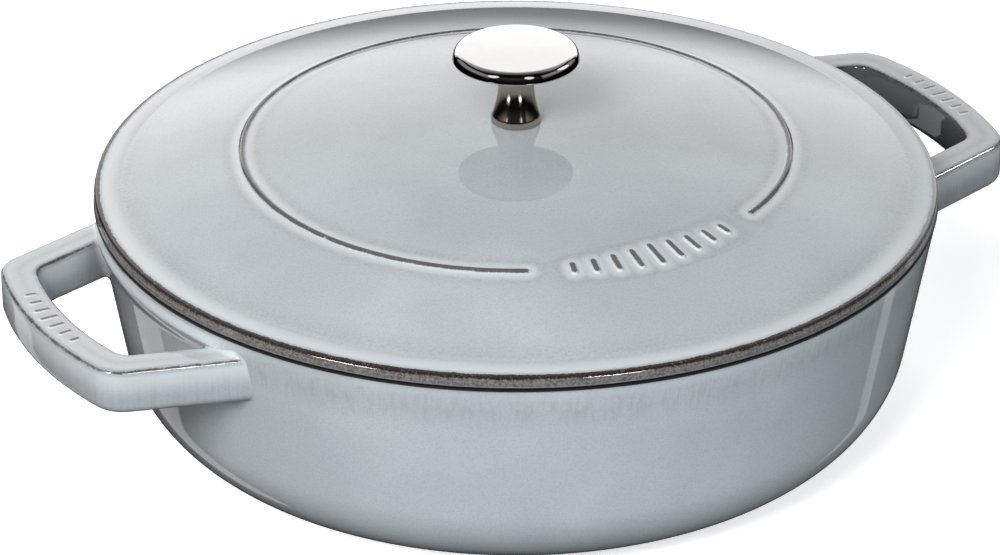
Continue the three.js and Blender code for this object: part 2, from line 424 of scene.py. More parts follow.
@dataclass(frozen=True)
class GlowPanel:
    """The cloth of a large soft light: dark low down, brightest above that, and soft at its sides and top."""

    name: str = "glow_panel"
    glow: Colour = (1.0, 0.995, 0.985)
    dark: Colour = (0.0, 0.0, 0.0)
    horizon_m: Span = (-0.04, 0.36)
    bright_m: Span = (0.32, 1.0)
    half_width_m: Span = (1.0, 1.5)
    top_m: Span = (1.05, 1.65)
    top_left: float = 0.3
    level: float = 1.38
    boost: float = 0.65

    def make(self) -> bpy.types.Material:
        """Builds the material, whose light depends only on the place on the panel."""
        bench = ShaderBench(self.name)
        across = bench.add("ShaderNodeSeparateXYZ", inputs={0: bench.place}, output="X")
        height = bench.add("ShaderNodeSeparateXYZ", inputs={0: bench.place}, output="Y")
        beside = bench.add("ShaderNodeMath", {"operation": "ABSOLUTE"}, {0: across})
        glow = self.level + self.boost * (1 - bench.rise(height, *self.bright_m))
        glow = glow * bench.rise(height, *self.horizon_m)
        glow = glow * (1 - bench.rise(height, *self.top_m) * (1.0 - self.top_left))
        glow = glow * (1 - bench.rise(beside, *self.half_width_m)) * (1.0 / (self.level + self.boost))
        bench.set(
            base_color=self.dark,
            roughness=1.0,
            emission_color=bench.mix(glow, self.dark, self.glow),
            emission_strength=self.level + self.boost,
        )
        return bench.material


# Modelling


@dataclass
class SectionPoint:
    """A point of a half section, with the coat on it and whether it is an arris, where enamel thins."""

    radius: float
    height: float
    coat: Coat
    arris: bool = False


@dataclass
class HalfSection:
    """The half section of a turned piece, drawn point by point from a start."""

    points: list[SectionPoint] = field(default_factory=list)
    coat: Coat = Coat.GLAZE

    def to(self, radius: float, height: float, steps: int = 1) -> "HalfSection":
        """Draws a straight run in equal steps.

        Args:
            radius: The run's end, from the axis.
            height: The run's end, above the base.
            steps: How many points the run gets.

        Returns:
            The section itself, so that runs can follow each other.
        """
        if not self.points:
            steps = 1
        last = self.points[-1] if self.points else SectionPoint(radius, height, self.coat)
        for step in range(1, steps + 1):
            share = step / steps
            at_radius = last.radius + (radius - last.radius) * share
            at_height = last.height + (height - last.height) * share
            self.points.append(SectionPoint(at_radius, at_height, self.coat))
        return self

    def arc(
        self, centre: Span | Vector, radius: float, start: float, end: float, steps: int
    ) -> "HalfSection":
        """Draws an arc, both ends included.

        Args:
            centre: The arc's centre, as radius and height.
            radius: The arc's own radius.
            start: The angle at which it starts, in degrees.
            end: The angle at which it ends, in degrees.
            steps: How many steps it has.

        Returns:
            The section itself.
        """
        for step in range(steps + 1):
            angle = math.radians(start + (end - start) * step / steps)
            self.to(centre[0] + radius * math.cos(angle), centre[1] + radius * math.sin(angle))
        return self

    def along(self, radii: Iterable[float], height: Callable[[float], float]) -> "HalfSection":
        """Draws a run whose height is a formula of the radius."""
        for radius in radii:
            self.to(radius, height(radius))
        return self

    def coated(self, coat: Coat) -> "HalfSection":
        """Changes the coat from here on."""
        self.coat = coat
        return self

    def arris(self, back: int = 1) -> "HalfSection":
        """Marks a recent point as an arris."""
        self.points[-back].arris = True
        return self

    def edge_distances(self) -> list[float]:
        """Gives each point's distance along the section to the nearest arris."""
        run = [0.0]
        for before, after in zip(self.points, self.points[1:]):
            run.append(run[-1] + math.hypot(after.radius - before.radius, after.height - before.height))
        marks = [at for at, point in zip(run, self.points) if point.arris]
        return [min((abs(at - mark) for mark in marks), default=FAR_FROM_EDGE) for at in run]


class Workshop:
    """The modelling steps that the pieces share."""

    @staticmethod
    def clear() -> None:
        """Goes to object mode with nothing selected."""
        if bpy.context.object and bpy.context.object.mode != "OBJECT":
            bpy.ops.object.mode_set(mode="OBJECT")
        bpy.ops.object.select_all(action="DESELECT")

    @classmethod
    def spin(cls, name: str, section: HalfSection, steps: int, wear: float = 1.0) -> bpy.types.Object:
        """Turns a half section about the Z axis.

        Args:
            name: The piece's name.
            section: Its half section, which starts and ends on the axis or closes on itself.
            steps: How many steps there are in a turn.
            wear: How far the iron shows on its arrises, up to 1.

        Returns:
            The closed piece, with its coats and edges on its points.
        """
        cls.clear()
        places = [Vector((point.radius, 0.0, point.height)) * MM for point in section.points]
        bpy.ops.mesh.primitive_plane_add(size=MM)
        piece = bpy.context.object
        piece.name = piece.data.name = name
        bpy.ops.object.mode_set(mode="EDIT")
        bpy.ops.mesh.select_all(action="SELECT")
        bpy.ops.mesh.merge(type="CENTER")
        bpy.ops.transform.translate(value=places[0])
        for before, after in zip(places, places[1:]):
            bpy.ops.mesh.extrude_vertices_move(TRANSFORM_OT_translate={"value": after - before})
        bpy.ops.mesh.select_all(action="SELECT")
        bpy.ops.mesh.spin(steps=steps, angle=math.tau, center=(0.0, 0.0, 0.0), axis=(0.0, 0.0, 1.0))
        bpy.ops.mesh.select_all(action="SELECT")
        bpy.ops.mesh.remove_doubles(threshold=WELD_GAP * MM)
        bpy.ops.mesh.normals_make_consistent(inside=False)
        bpy.ops.object.mode_set(mode="OBJECT")
        cls.shade(piece)
        cls.coat_turned(piece, section)
        cls.write(piece, "edge_wear", [wear] * len(piece.data.vertices))
        return piece

    @classmethod
    def loft(cls, name: str, rings: Sequence[Sequence[Vector]]) -> bpy.types.Object:
        """Draws a face out through a row of rings, as a solid with a flat face at each end.

        Args:
            name: The piece's name.
            rings: Rings of as many points each, in millimetres.

        Returns:
            The closed piece.
        """
        cls.clear()
        bpy.ops.mesh.primitive_circle_add(vertices=len(rings[0]), fill_type="NGON")
        piece = bpy.context.object
        piece.name = piece.data.name = name
        bpy.ops.object.mode_set(mode="EDIT")
        mesh = bmesh.from_edit_mesh(piece.data)
        mesh.faces.ensure_lookup_table()
        for corner, place in zip(mesh.faces[0].verts, rings[0]):
            corner.co = place * MM
        for before, after in zip(rings, rings[1:]):
            bpy.ops.mesh.extrude_region_move()
            cls.carry(piece, before, after)
        bpy.ops.mesh.select_all(action="SELECT")
        bpy.ops.mesh.normals_make_consistent(inside=False)
        bpy.ops.object.mode_set(mode="OBJECT")
        cls.shade(piece)
        return piece

    @staticmethod
    def carry(piece: bpy.types.Object, before: Sequence[Vector], after: Sequence[Vector]) -> None:
        """Moves the selected ring's points from one ring's places to the next one's."""
        mesh = bmesh.from_edit_mesh(piece.data)
        tree = Workshop.tree_of(before)
        for point in [vertex for vertex in mesh.verts if vertex.select]:
            point.co = after[tree.find(point.co / MM)[1]] * MM
        bmesh.update_edit_mesh(piece.data)

    @staticmethod
    def tree_of(places: Sequence[Vector]) -> KDTree:
        """Makes a search tree of places."""
        tree = KDTree(len(places))
        for index, place in enumerate(places):
            tree.insert(place, index)
        tree.balance()
        return tree

    @staticmethod
    def shade(piece: bpy.types.Object) -> None:
        """Shades a piece smooth, but for its sharp edges."""
        Workshop.clear()
        piece.select_set(True)
        bpy.context.view_layer.objects.active = piece
        bpy.ops.object.shade_smooth_by_angle(angle=SMOOTH_ANGLE)

    @staticmethod
    def write(piece: bpy.types.Object, name: str, values: Sequence[float]) -> None:
        """Writes a number on each point of a piece."""
        layer = piece.data.attributes.get(name) or piece.data.attributes.new(name, "FLOAT", "POINT")
        layer.data.foreach_set("value", list(values))

    @staticmethod
    def read(piece: bpy.types.Object, name: str) -> list[float]:
        """Reads the number on each point of a piece."""
        values = [0.0] * len(piece.data.vertices)
        piece.data.attributes[name].data.foreach_get("value", values)
        return values

    @classmethod
    def coat_turned(cls, piece: bpy.types.Object, section: HalfSection) -> None:
        """Copies the coats and edge distances of a half section to the points that were turned from it."""
        tree = cls.tree_of([Vector((point.radius, point.height, 0.0)) for point in section.points])
        edges = section.edge_distances()
        found = []
        for vertex in piece.data.vertices:
            place = vertex.co / MM
            found.append(tree.find(Vector((math.hypot(place.x, place.y), place.z, 0.0)))[1])
        cls.write(piece, "edge_mm", [edges[index] for index in found])
        for layer, coat in (("thin_coat", Coat.THIN), ("black_coat", Coat.BLACK)):
            cls.write(piece, layer, [float(section.points[index].coat is coat) for index in found])

    @classmethod
    def coat_lofted(
        cls,
        piece: bpy.types.Object,
        rings: Sequence[Sequence[Vector]],
        layers: dict[str, Sequence[Sequence[float]]],
        wear: float,
    ) -> None:
        """Writes the coats of a loft on its points.

        Args:
            piece: The loft.
            rings: The rings that it was drawn through.
            layers: A number for each point of each ring, for every layer that varies.
            wear: How far the iron shows on its arrises, up to 1.
        """
        tree = cls.tree_of([place for ring in rings for place in ring])
        nearest = [tree.find(vertex.co / MM)[1] for vertex in piece.data.vertices]
        for layer, value in (("thin_coat", 0.0), ("black_coat", 0.0), ("edge_wear", wear)):
            cls.write(piece, layer, [value] * len(nearest))
        for layer, rows in layers.items():
            flat = [value for row in rows for value in row]
            cls.write(piece, layer, [flat[index] for index in nearest])

    @classmethod
    def join(cls, name: str, pieces: Sequence[bpy.types.Object]) -> bpy.types.Object:
        """Joins pieces into one and names it."""
        cls.clear()
        for piece in pieces:
            piece.select_set(True)
        bpy.context.view_layer.objects.active = pieces[0]
        bpy.ops.object.join()
        pieces[0].name = pieces[0].data.name = name
        return pieces[0]

    @staticmethod
    def dress(
        piece: bpy.types.Object, finish: bpy.types.Material, slot: Slot, body: Body, *nodes: str
    ) -> None:
        """Gives a piece its finish and its place in the model.

        Args:
            piece: The finished piece.
            finish: Its material.
            slot: The record's slot for that finish; not used.
            body: The body that carries the piece.
            nodes: The CAD nodes that it stands for.
        """
        piece.data.materials.clear()
        piece.data.materials.append(finish)
        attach(piece, body.value)
        if nodes:
            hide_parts(*nodes)
        log.info("%s: %d faces on %s", piece.name, len(piece.data.polygons), body.value)


def smooth_step(value: float, low: float, high: float) -> float:
    """Goes smoothly from 0 at low to 1 at high."""
    share = min(max((value - low) / (high - low), 0.0), 1.0)
    return share * share * (3.0 - 2.0 * share)


def steps_between(start: float, end: float, step: float) -> list[float]:
    """Lists evenly spaced numbers after start, up to end, about a step apart."""
    count = max(1, round(abs(end - start) / step))
    return [start + (end - start) * index / count for index in range(1, count + 1)]


@dataclass
class MarkFan:
    """A fan of slender raised marks along an arc, longest in the middle."""

    centre: Vector
    radius: float
    facing: float
    ground: Callable[[float, float], float]
    count: int = 9
    pitch: float = 7.4
    longest: float = 11.0
    taper: float = 1.4
    half_width: float = 1.0
    height: float = 0.8
    wear: float = 0.8
    turn_steps: int = 10

    def lines(self) -> list[tuple[Vector, Vector]]:
        """Lists the ends of each mark's middle line, in plan."""
        lines = []
        for index in range(self.count):
            off = index - (self.count - 1) / 2.0
            angle = self.facing + off * self.pitch / self.radius
            out = Vector((math.cos(angle), math.sin(angle)))
            half = (self.longest - self.taper * abs(off)) / 2.0 - self.half_width
            lines.append((self.centre + out * (self.radius - half), self.centre + out * (self.radius + half)))
        return lines

    def distance(self, x: float, y: float) -> float:
        """Gives the distance in plan from a place to the nearest mark's middle line."""
        place = Vector((x, y))
        nearest = FAR_FROM_EDGE
        for start, end in self.lines():
            run = end - start
            share = min(max((place - start).dot(run) / run.length_squared, 0.0), 1.0)
            nearest = min(nearest, (place - start - run * share).length)
        return nearest

    def outline(self, start: Vector, end: Vector, half_width: float, lift: float) -> list[Vector]:
        """Draws a mark's rounded outline at a height over the ground."""
        along = (end - start).normalized()
        beside = Vector((-along.y, along.x))
        ring = []
        for first, tip in ((-90.0, end), (90.0, start)):
            for step in range(self.turn_steps + 1):
                angle = math.radians(first + 180.0 * step / self.turn_steps)
                place = tip + (along * math.cos(angle) + beside * math.sin(angle)) * half_width
                ring.append(Vector((place.x, place.y, self.ground(place.x, place.y) + lift)))
        return ring

    def build(self, name: str) -> bpy.types.Object:
        """Makes the marks as one piece, its sides pooled pale and its crests worn."""
        wide, high = self.half_width, self.height
        # Half width, height over the ground and distance to an arris, from the foot up
        stages = (
            (wide + 0.7, -0.3, 4.0),
            (wide + 0.45, 0.05, 3.0),
            (wide + 0.15, high * 0.7, 1.7),
            (wide - 0.1, high * 0.93, 0.6),
            (wide - 0.4, high, 0.3),
        )
        pieces = []
        for start, end in self.lines():
            rings = [self.outline(start, end, half_width, lift) for half_width, lift, _ in stages]
            mark = Workshop.loft(name, rings)
            edges = [[edge] * len(rings[0]) for _, _, edge in stages]
            Workshop.coat_lofted(mark, rings, {"edge_mm": edges}, self.wear)
            pieces.append(mark)
        return Workshop.join(name, pieces)


# The pan


@dataclass
class BarPoint:
    """A point of a handle's bar: its outward normal, its distance to an arris and the painted shade on it."""

    place: Vector
    normal: Vector
    edge: float
    deep: float


@dataclass
class PanCasting:
    """The pan, with its two loop handles."""

    finish: bpy.types.Material
    reach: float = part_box("pan")[1].x / MM
    height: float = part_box("pan")[1].z / MM
    rim_radius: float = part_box("pan")[1].y / MM
    rim_width: float = 5.6
    rim_round: float = 0.6
    rim_split: float = 5.0
    draft: float = math.radians(9.6)
    wall: float = 3.8
    corner: float = 35.0
    handle_drop: float = 6.3
    handle_thickness: float = 16.5
    bar: float = 12.2
    bar_top_round: float = 1.5
    bar_low_round: float = 3.6
    grip_span: float = 84.8
    grip_bow: float = 144.6
    arm_splay: float = math.radians(17)
    outer_corner: float = 13.0
    inner_corner: float = 7.0
    root_fillet: float = 1.8
    root_fade: float = 1.2
    root_buried: float = 1.0
    arris_least: float = 0.3
    arris_fade: float = 0.9
    # Painted shade on the handles' inner faces, and the turn of the face over which it comes in
    inner_shading: float = 0.45
    inner_turn: Span = (0.3, 0.9)
    ledge_depth: float = 1.2
    ledge_fade: float = 5.5
    ledge_crest: float = 0.3
    ledge_top_gap: float = 1.5
    ledge_ends: Span = (2.0, 10.0)
    ledge_end_fade: float = 6.0
    ledge_slack: float = 0.5
    ledge_wear: float = 0.4
    rim_wear: float = 0.15
    # Painted shade over the rest of each handle, and how much more of it the right handle gets
    handle_shading: float = 0.18
    right_shading_gain: float = 2.2
    handle_wear: float = 0.85
    turn_steps: int = 256
    corner_steps: int = 28
    inner_steps: int = 24
    round_steps: int = 5
    plan_steps: int = 14
    root_steps: int = 7
    wall_step: float = 4.0
    ledge_step: float = 0.6

    @property
    def handle_top(self) -> float:
        """Height of the handles' flat top."""
        return self.height - self.handle_drop

    @property
    def base_radius(self) -> float:
        """Radius of the flat base, where the round lower corner starts."""
        tangent = self.corner * (1.0 - math.sin(self.draft))
        slope = (self.height - tangent) * math.tan(self.draft)
        return self.rim_radius - slope - self.corner * math.cos(self.draft)

    def wall_radius(self, height: float) -> float:
        """Radius of the drafted wall's outer face at a height."""
        return self.rim_radius - (self.height - height) * math.tan(self.draft)

    def build(self) -> tuple[bpy.types.Object, ...]:
        """Makes the bowl, both handles and their marks, and gives the handles back."""
        bowl = self.bowl()
        Workshop.dress(bowl, self.finish, Slot.ENAMEL, Body.PAN, "pan")
        handles = []
        for side, turn in (("right", 1.0), ("left", -1.0)):
            handle = self.handle(f"handle_{side}", turn)
            Workshop.dress(handle, self.finish, Slot.ENAMEL, Body.PAN, "pan")
            marks = self.grip_marks(turn).build(f"grip_marks_{side}")
            Workshop.dress(marks, self.finish, Slot.ENAMEL, Body.PAN)
            handles.append(handle)
        return tuple(handles)

    def grip_marks(self, turn: float) -> "MarkFan":
        """Sets out the small raised marks on a handle's grip."""
        return MarkFan(
            centre=Vector(((self.reach - self.grip_bow) * turn, 0.0)),
            radius=self.grip_bow - self.bar / 2.0,
            facing=0.0 if turn > 0.0 else math.pi,
            ground=lambda x, y: self.handle_top,
            count=7,
            pitch=6.0,
            longest=6.4,
            taper=0.9,
            half_width=0.7,
            height=0.45,
        )

    def bowl(self) -> bpy.types.Object:
        """Turns the bowl and raises the low ledge between each handle's arms."""
        draft = math.degrees(self.draft)
        centre = (self.base_radius, self.corner)
        mouth = self.rim_radius - self.rim_width
        inner = self.corner - self.wall
        lip = (mouth + self.rim_round, self.height - self.rim_round)
        rim = (self.rim_radius - self.rim_round, self.height - self.rim_round)
        to_mouth = Vector((mouth - centre[0], lip[1] - centre[1]))
        tangent = math.degrees(math.atan2(to_mouth.y, to_mouth.x) - math.acos(inner / to_mouth.length))
        wall_foot = self.corner * (1.0 - math.sin(self.draft))
        ledge_foot = self.handle_top - 2.0 * self.ledge_fade
        section = HalfSection().to(0.0, 0.0).to(self.base_radius, 0.0, 6)
        section.arc(centre, self.corner, -90.0, -draft, self.corner_steps)
        runs = ((wall_foot, ledge_foot, self.wall_step), (ledge_foot, rim[1], self.ledge_step))
        for low, high, step in runs:
            for height in steps_between(low, high, step):
                section.to(self.wall_radius(height), height)
        section.arc(rim, self.rim_round, -draft, -self.rim_split, 1).arris()
        section.coated(Coat.BLACK).arc(rim, self.rim_round, self.rim_split, 90.0, self.round_steps)
        section.to(lip[0], self.height, 3).arc(lip, self.rim_round, 90.0, 180.0, self.round_steps)
        turn = math.radians(tangent)
        section.to(centre[0] + inner * math.cos(turn), centre[1] + inner * math.sin(turn), 14)
        section.arc(centre, inner, tangent, -90.0, self.inner_steps).to(0.0, self.wall, 6)
        bowl = Workshop.spin("pan_bowl", section, self.turn_steps, self.rim_wear)
        self.raise_ledges(bowl)
        return bowl

    def raise_ledges(self, bowl: bpy.types.Object) -> None:
        """Pushes the wall out between each handle's arms, into a low ledge level with the handle's top."""
        edges = Workshop.read(bowl, "edge_mm")
        wear = Workshop.read(bowl, "edge_wear")
        near_end, far_end = (self.grip_span / 2.0 + run for run in self.ledge_ends)
        top, crest = self.handle_top, self.ledge_crest
        for vertex in bowl.data.vertices:
            place = vertex.co / MM
            radius = math.hypot(place.x, place.y)
            if radius < self.wall_radius(place.z) - self.ledge_slack or place.z < self.corner:
                continue
            above = 1.0 - smooth_step(place.z, top + crest, self.height - self.ledge_top_gap)
            below = smooth_step(place.z, top - self.ledge_fade, top - crest)
            beside = 1.0 - smooth_step(abs(place.y), near_end, far_end)
            out = self.ledge_depth * above * below * beside
            if out > 0.0:
                vertex.co *= Vector((radius + out, radius + out, radius)) / radius
                away = abs(place.z - top) + self.ledge_end_fade * (1.0 - beside)
                edges[vertex.index] = min(edges[vertex.index], away)
                wear[vertex.index] = self.ledge_wear * beside
        Workshop.write(bowl, "edge_mm", edges)
        Workshop.write(bowl, "edge_wear", wear)
        bowl.data.update()

    def plan_line(self, inset: float, corner_radius: float, steps: int) -> list[Vector]:
        """Draws one side of a handle in plan, from its arm to the middle of its grip.

        Args:
            inset: How far the side lies inside the handle's outer face.
            corner_radius: The radius of the corner between arm and grip.
            steps: How many steps the corner has; the grip's half has as many.

        Returns:
            Points on the handle's +Y half, the first of them a point of the straight arm.
        """
        along = Vector((math.cos(self.arm_splay), -math.sin(self.arm_splay)))
        inwards = Vector((-math.sin(self.arm_splay), -math.cos(self.arm_splay)))
        bow = Vector((self.reach - self.grip_bow, 0.0))
        arm = Vector((self.reach, self.grip_span / 2.0)) + inwards * inset
        arm -= along * (arm - Vector((self.rim_radius, 0.0))).dot(along)
        offset = arm + inwards * corner_radius - bow
        spare = (self.grip_bow - inset - corner_radius) ** 2 - offset.length_squared
        run = -offset.dot(along) + math.sqrt(offset.dot(along) ** 2 + spare)
        corner = arm + inwards * corner_radius + along * run
        turn = math.atan2(corner.y - bow.y, corner.x - bow.x)
        first = math.pi / 2.0 - self.arm_splay
        line = [arm]
        for step in range(steps + 1):
            angle = first + (turn - first) * step / steps
            line.append(corner + Vector((math.cos(angle), math.sin(angle))) * corner_radius)
        for step in range(1, steps + 1):
            angle = turn * (1.0 - step / steps)
            line.append(bow + Vector((math.cos(angle), math.sin(angle))) * (self.grip_bow - inset))
        return line

    def bar_ring(self, outer: Vector, inner: Vector) -> list[BarPoint]:
        """Draws the bar's rounded section between an outer and an inner point of the plan.

        Args:
            outer: The plan point on the handle's outer face.
            inner: The plan point across the bar from it.

        Returns:
            The section's points, those on the inner side carrying more painted shade.
        """
        width = (inner - outer).length
        across = (inner - outer) / width
        top, low, depth = self.bar_top_round, self.bar_low_round, self.handle_thickness
        corners = (
            (top, depth - top, top, 180.0),
            (width - top, depth - top, top, 90.0),
            (width - low, low, low, 0.0),
            (low, low, low, -90.0),
        )
        notch = top * (1.0 - math.sqrt(0.5))
        arrises = (Vector((notch, depth - notch)), Vector((width - notch, depth - notch)))
        drawn = []
        for index, (side, up, radius, start) in enumerate(corners):
            for step in range(self.round_steps + 1):
                angle = math.radians(start - 90.0 * step / self.round_steps)
                drawn.append((side + radius * math.cos(angle), up + radius * math.sin(angle), angle))
            after = corners[(index + 1) % len(corners)]
            facing = math.radians(start - 90.0)
            begin = Vector((side + radius * math.cos(facing), up + radius * math.sin(facing)))
            end = Vector((after[0] + after[2] * math.cos(facing), after[1] + after[2] * math.sin(facing)))
            for share in (0.25, 0.5, 0.75):
                middle = begin.lerp(end, share)
                drawn.append((middle.x, middle.y, facing))
        ring = []
        for side, up, angle in drawn:
            plan = outer + across * side
            place = Vector((plan.x, plan.y, self.handle_top - depth + up))
            normal = Vector((across.x * math.cos(angle), across.y * math.cos(angle), math.sin(angle)))
            away = min((Vector((side, up)) - arris).length for arris in arrises)
            # Painted shade, from the handle's general level up to the inner faces' level
            inside = smooth_step(math.cos(angle), *self.inner_turn)
            deep = self.handle_shading + (self.inner_shading - self.handle_shading) * inside
            ring.append(BarPoint(place, normal, self.arris_least + self.arris_fade * away, deep))
        return ring

    def root_rings(self, ring: list[BarPoint], inwards: Vector) -> list[list[BarPoint]]:
        """Rolls a ball round the corner between an arm and the wall.

        Args:
            ring: The arm's section.
            inwards: The way along the arm to the pan, as a plan direction.

        Returns:
            Rings from inside the wall, over the fillet, to where it leaves the arm.
        """
        ball, steps = self.root_fillet, self.root_steps
        toward = Vector((inwards.x, inwards.y, 0.0))
        spread: list[list[BarPoint]] = [[] for _ in range(steps + 2)]
        for point in ring:
            start = point.place + point.normal * ball
            reach = self.wall_radius(start.z) + ball / math.cos(self.draft)
            flat = Vector((start.x, start.y))
            half = flat.dot(inwards)
            centre = start + toward * (-half - math.sqrt(half * half - flat.length_squared + reach * reach))
            outward = Vector((centre.x, centre.y)).normalized() * math.cos(self.draft)
            wall_normal = Vector((outward.x, outward.y, -math.sin(self.draft)))
            buried = centre - wall_normal * (ball + self.root_buried)
            # The painted shade is none inside the wall and grows over the fillet to the arm's own
            spread[0].append(BarPoint(buried, wall_normal, point.edge + self.root_fade, 0.0))
            for step in range(steps + 1):
                share = step / steps
                facing = wall_normal.slerp(point.normal, share)
                edge = point.edge + self.root_fade * (1.0 - share)
                spread[step + 1].append(BarPoint(centre - facing * ball, facing, edge, point.deep * share))
        return spread

    def handle(self, name: str, turn: float) -> bpy.types.Object:
        """Draws one handle's bar from wall to wall.

        Args:
            name: The piece's name.
            turn: 1 for the handle on +X, -1 for the one on -X.

        Returns:
            The finished handle, with a fillet at each root.
        """
        outer = self.plan_line(0.0, self.outer_corner, self.plan_steps)
        inner = self.plan_line(self.bar, self.inner_corner, self.plan_steps)
        half = [self.bar_ring(*pair) for pair in zip(outer, inner)]
        inwards = Vector((-math.cos(self.arm_splay), math.sin(self.arm_splay)))
        rows = [*self.root_rings(half[0], inwards), *half[1:]]
        flip = Vector((1.0, -1.0, 1.0))
        rows += [[replace(point, place=point.place * flip) for point in row] for row in reversed(rows[:-1])]
        about = Vector((turn, turn, 1.0))
        rings = [[point.place * about for point in row] for row in rows]
        # The right handle gets more painted shade than the left, standing in for the light that misses it
        shading_gain = self.right_shading_gain if turn > 0.0 else 1.0
        layers = {
            "edge_mm": [[point.edge for point in row] for row in rows],
            "painted_shade": [[min(1.0, point.deep * shading_gain) for point in row] for row in rows],
        }
        handle = Workshop.loft(name, rings)
        Workshop.coat_lofted(handle, rings, layers, self.handle_wear)
        return handle


# The lid


@dataclass
class LidCasting:
    """The domed lid with its brim, raised ring and locating spigot."""

    finish: bpy.types.Material
    seat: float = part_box("pan")[1].z / MM + REST_GAP
    radius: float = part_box("lid")[1].x / MM
    edge_height: float = 4.2
    edge_taper: float = 0.4
    edge_round: float = 0.9
    edge_inset: float = 0.2
    glaze_turn: Span = (84.0, 50.0)
    thin_turn: Span = (35.0, 0.0)
    low_round: float = 0.5
    step_share: float = 0.52
    step_half: float = 0.15
    step_above: float = 0.05
    step_below: float = 0.06
    brim_width: float = 9.0
    brim_rise: float = 1.0
    crease_round: float = 9.0
    dome_rise: float = 19.6
    wall: float = 3.6
    boss_radius: float = 13.0
    boss_drop: float = 1.5
    hole_radius: float = 3.4
    spigot_radius: float = 140.8
    spigot_width: float = 4.0
    spigot_depth: float = 4.5
    spigot_root: float = 0.8
    spigot_ease: float = 1.0
    ring_radius: float = 95.5
    ring_width: float = 3.0
    ring_height: float = 0.9
    ring_power: float = 1.5
    ring_gap: float = math.radians(54)
    ring_close: float = 2.4
    ring_near: float = 10.0
    ring_crest: float = 0.85
    ring_least: float = 0.3
    ring_fade: float = 2.2
    mark_least: float = 1.7
    mark_fade: float = 2.0
    knob_foot: float = 8.8
    ring_wear: float = 0.85
    # Painted sheen: towards +X the arris line, thin coat and pooling fade to this share, so that side reads
    # lighter
    sheen_side_fade: Span = (60.0, 138.0)
    sheen_side_least: float = 0.35
    nub_radius: float = 2.2
    nub_segments: int = 16
    nub_rings: tuple[tuple[float, int], ...] = ((42.0, 8), (78.0, 14), (112.0, 20))
    turn_steps: int = 480

    @property
    def top_edge(self) -> float:
        """Height of the lid's upper arris."""
        return self.seat + self.edge_height

    @property
    def crease(self) -> Span:
        """Radius and height of the crease between brim and dome."""
        return self.radius - self.edge_taper - self.brim_width, self.top_edge + self.brim_rise

    def dome(self, radius: float) -> float:
        """Height of the lid's outer face at a radius."""
        crease_radius, crease_height = self.crease
        sphere = (crease_radius**2 + self.dome_rise**2) / (2.0 * self.dome_rise)
        return crease_height + self.dome_rise - sphere + math.sqrt(sphere**2 - radius**2)

    def build(self) -> bpy.types.Object:
        """Turns the lid, raises its ring, and adds the marks in the ring's gap and the nubs underneath.

        Returns:
            The lid's casting.
        """
        marks = MarkFan(
            centre=Vector((0.0, 0.0)),
            radius=self.ring_radius,
            facing=-math.pi / 2.0,
            ground=lambda x, y: self.dome(math.hypot(x, y)),
        )
        lid = Workshop.spin("lid_casting", self.section(), self.turn_steps)
        # Painted sheen: the worn edge and the thin coat on the band fade out towards +X
        fade = [smooth_step(vertex.co.x / MM, *self.sheen_side_fade) for vertex in lid.data.vertices]
        kept = [1.0 - (1.0 - self.sheen_side_least) * share for share in fade]
        thin = Workshop.read(lid, "thin_coat")
        Workshop.write(lid, "edge_wear", kept)
        Workshop.write(lid, "thin_coat", [value * share for value, share in zip(thin, kept)])
        self.raise_ring(lid, marks)
        Workshop.dress(lid, self.finish, Slot.ENAMEL, Body.LID, "lid")
        Workshop.dress(marks.build("lid_marks"), self.finish, Slot.ENAMEL, Body.LID)
        Workshop.dress(self.nubs(), self.finish, Slot.ENAMEL, Body.LID)
        return lid

    def nubs(self) -> bpy.types.Object:
        """Makes the rings of small drip nubs under the lid."""
        pieces = []
        for radius, count in self.nub_rings:
            for index in range(count):
                angle = math.tau * index / count
                height = self.dome(radius) - self.wall
                Workshop.clear()
                place = Vector((radius * math.cos(angle), radius * math.sin(angle), height)) * MM
                bpy.ops.mesh.primitive_uv_sphere_add(
                    segments=self.nub_segments,
                    ring_count=self.nub_segments // 2,
                    radius=self.nub_radius * MM,
                    location=place,
                )
                pieces.append(bpy.context.object)
        nubs = Workshop.join("lid_nubs", pieces)
        bpy.ops.object.transform_apply(location=True, rotation=True, scale=True)
        Workshop.shade(nubs)
        layers = {"edge_mm": FAR_FROM_EDGE, "thin_coat": 0.0, "black_coat": 1.0, "edge_wear": 0.0}
        for layer, value in layers.items():
            Workshop.write(nubs, layer, [value] * len(nubs.data.vertices))
        return nubs

    def section(self) -> HalfSection:
        """Draws the half section, from the knob's seat over the top and back underneath."""
        crease_radius, crease_height = self.crease
        ring, close, near = self.ring_radius, self.ring_close, self.ring_near
        upper = self.radius - self.edge_taper
        rise = math.atan2(self.brim_rise, self.brim_width)
        slope = math.atan2(self.dome(crease_radius - 1.0) - crease_height, 1.0)
        half_turn = (slope - rise) / 2.0
        tangent = self.crease_round * math.tan(half_turn)
        knob_seat = self.dome(self.knob_foot)
        section = HalfSection().to(self.hole_radius, knob_seat).to(self.knob_foot, knob_seat)
